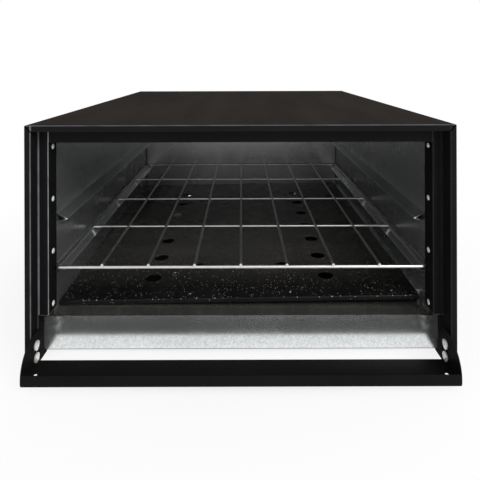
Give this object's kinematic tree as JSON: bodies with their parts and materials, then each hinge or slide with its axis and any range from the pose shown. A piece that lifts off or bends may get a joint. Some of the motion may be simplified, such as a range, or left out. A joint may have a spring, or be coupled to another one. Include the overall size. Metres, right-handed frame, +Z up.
{
  "type": "commercial gas oven",
  "caption": "Low black bench gas oven with an open front, zinc-coated cavity, wire rack on V rails, enamelled floor plate over tube burners and a hinged lower flap.",
  "frame": {"origin": "on the bench, below the middle of the oven's overall box (flap to gas inlet)", "axes": "+X to the right as seen from the front, +Y to the back, +Z up; the open front faces -Y"},
  "size_m": [0.6, 0.797, 0.345],
  "materials": {
    "case_paint": "satin black stoving paint",
    "jamb_paint": "satin black stoving paint",
    "flap_paint": "satin black stoving paint",
    "floor_enamel": "gloss black vitreous enamel with pale specks",
    "liner_zinc": "zinc-coated, glossy",
    "apron_zinc": "zinc-coated, nearly mirror-like",
    "rail_zinc": "zinc-coated",
    "back_zinc": "zinc-coated, spangled",
    "screw_zinc": "bright zinc plate",
    "rivet_steel": "zinc-plated, dulled",
    "rack_plate": "bright nickel plate",
    "burner_steel": "aluminised steel",
    "mixer_iron": "as cast",
    "gas_brass": "turned",
    "pipe_steel": "plain pipe",
    "lever_paint": "yellow paint",
    "wool": "mineral wool"
  },
  "bodies": {
    "oven": {"apron": "apron_zinc", "back_screws": "screw_zinc", "burner_bracket_front": "rail_zinc", "burner_bracket_rear": "rail_zinc", "burner_cap_left": "burner_steel", "burner_cap_right": "burner_steel", "burner_left": "burner_steel", "burner_right": "burner_steel", "burner_tray": "back_zinc", "case_back": "back_zinc", "case_wrap": "case_paint", "cock_body": "gas_brass", "cowl_screws": "screw_zinc", "flap_pivot_left": "screw_zinc", "flap_pivot_right": "screw_zinc", "flap_stop_left": "screw_zinc", "flap_stop_right": "screw_zinc", "flap_washers": "screw_zinc", "floor_angle_left": "rail_zinc", "floor_angle_right": "rail_zinc", "flue_cowl": "back_zinc", "flue_duct": "back_zinc", "gas_manifold": "pipe_steel", "injector_left": "gas_brass", "injector_right": "gas_brass", "inlet_nipple": "gas_brass", "insulation_back": "wool", "insulation_left": "wool", "insulation_right": "wool", "insulation_top": "wool", "jamb_left": "jamb_paint", "jamb_right": "jamb_paint", "jamb_rivets_left": "rivet_steel", "jamb_rivets_right": "rivet_steel", "jamb_top": "jamb_paint", "liner_back": "liner_zinc", "liner_left": "liner_zinc", "liner_right": "liner_zinc", "liner_top": "liner_zinc", "manifold_brackets": "rail_zinc", "mixer_left": "mixer_iron", "mixer_right": "mixer_iron", "rail_lower_left": "rail_zinc", "rail_lower_right": "rail_zinc", "rail_upper_left": "rail_zinc", "rail_upper_right": "rail_zinc", "supply_pipe": "pipe_steel", "tray_rivets_left": "rivet_steel", "tray_rivets_right": "rivet_steel"},
    "rack": {"rack_frame": "rack_plate", "rack_cross_wires": "rack_plate", "rack_long_wires": "rack_plate"},
    "floor": {"floor_plate": "floor_enamel"},
    "flap": {"flap": "flap_paint"},
    "shutter_left": {"air_shutter_left": "rail_zinc"},
    "shutter_right": {"air_shutter_right": "rail_zinc"},
    "lever": {"cock_lever": "lever_paint"}
  },
  "joints": [
    {"name": "rack_slide", "type": "slide", "parent": "oven", "child": "rack", "axis": [0, -1, 0], "range_m": [0, 0.42]},
    {"name": "floor_plate_slide", "type": "slide", "parent": "oven", "child": "floor", "axis": [0, -1, 0], "range_m": [0, 0.4]},
    {"name": "flap_hinge", "type": "hinge", "parent": "oven", "child": "flap", "pos_m": [0, -0.3565, 0.038], "axis": [1, 0, 0], "range_deg": [-90, 0]},
    {"name": "air_shutter_left_turn", "type": "hinge", "parent": "oven", "child": "shutter_left", "pos_m": [-0.0775, 0.2084, 0.036], "axis": [0, 1, 0], "range_deg": [0, 60]},
    {"name": "air_shutter_right_turn", "type": "hinge", "parent": "oven", "child": "shutter_right", "pos_m": [0.0775, 0.2084, 0.036], "axis": [0, 1, 0], "range_deg": [0, 60]},
    {"name": "gas_cock_turn", "type": "hinge", "parent": "oven", "child": "lever", "pos_m": [0.165, 0.3565, 0.056], "axis": [0, 0, -1], "range_deg": [0, 90]}
  ]
}
